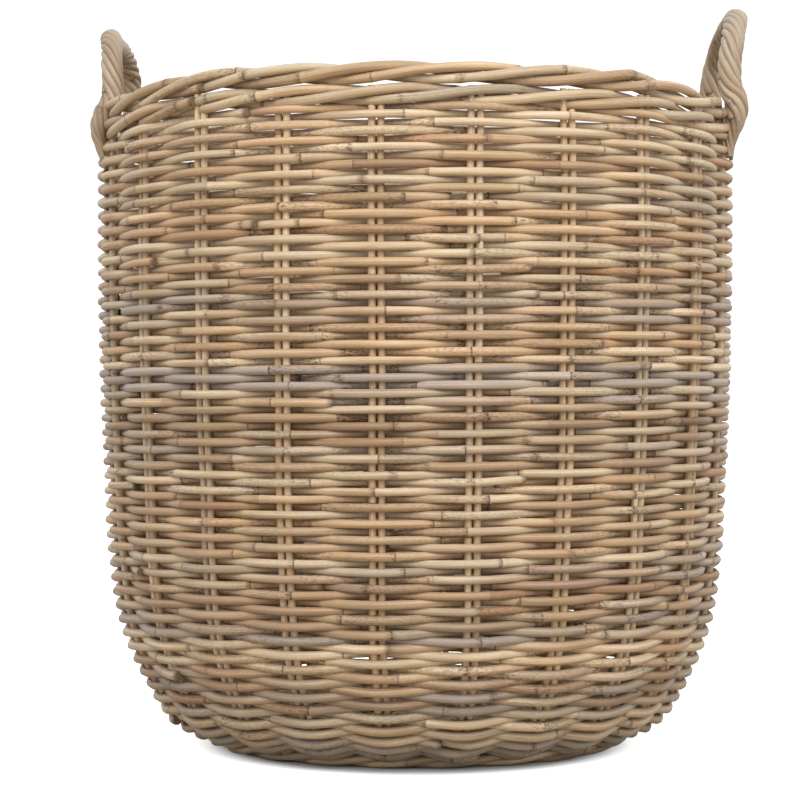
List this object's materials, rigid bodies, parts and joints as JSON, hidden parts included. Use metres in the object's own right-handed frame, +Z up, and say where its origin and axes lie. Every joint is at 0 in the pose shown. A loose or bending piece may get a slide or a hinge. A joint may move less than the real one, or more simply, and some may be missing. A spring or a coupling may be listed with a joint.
{
  "type": "laundry basket",
  "caption": "Round open laundry basket hand-woven in grey-washed rattan cane, with a rope border, a raised foot rim and two twisted cane loop handles",
  "frame": {"origin": "on the floor, under the middle of the basket", "axes": "+Z is up, the two handles are on -X and +X, and -Y is the front"},
  "size_m": [0.5053, 0.493, 0.5645],
  "materials": {
    "weave_cane": "satin",
    "stake_cane": "satin",
    "border_cane": "satin",
    "foot_cane": "satin",
    "base_cane": "satin",
    "handle_cane": "satin"
  },
  "bodies": {
    "root": {"stake_pair_01": "stake_cane", "stake_pair_02": "stake_cane", "stake_pair_03": "stake_cane", "stake_pair_04": "stake_cane", "stake_pair_05": "stake_cane", "stake_pair_06": "stake_cane", "stake_pair_07": "stake_cane", "stake_pair_08": "stake_cane", "stake_pair_09": "stake_cane", "stake_pair_10": "stake_cane", "stake_pair_11": "stake_cane", "stake_pair_12": "stake_cane", "stake_pair_13": "stake_cane", "stake_pair_14": "stake_cane", "stake_pair_15": "stake_cane", "stake_pair_16": "stake_cane", "stake_pair_17": "stake_cane", "stake_pair_18": "stake_cane", "stake_pair_19": "stake_cane", "stake_pair_20": "stake_cane", "stake_pair_21": "stake_cane", "stake_pair_22": "stake_cane", "side_weave_1": "weave_cane", "side_weave_2": "weave_cane", "side_weave_3": "weave_cane", "side_weave_4": "weave_cane", "side_weave_5": "weave_cane", "side_weave_6": "weave_cane", "side_weave_7": "weave_cane", "side_weave_8": "weave_cane", "lower_wale": "weave_cane", "upper_wale": "weave_cane", "top_border": "border_cane", "foot_border": "foot_cane", "base_sticks_across": "base_cane", "base_sticks_through": "base_cane", "base_weave": "base_cane", "left_handle": "handle_cane", "right_handle": "handle_cane", "right_tail_front": "handle_cane", "right_tail_back": "handle_cane", "left_tail_front": "handle_cane", "left_tail_back": "handle_cane"}
  },
  "joints": []
}
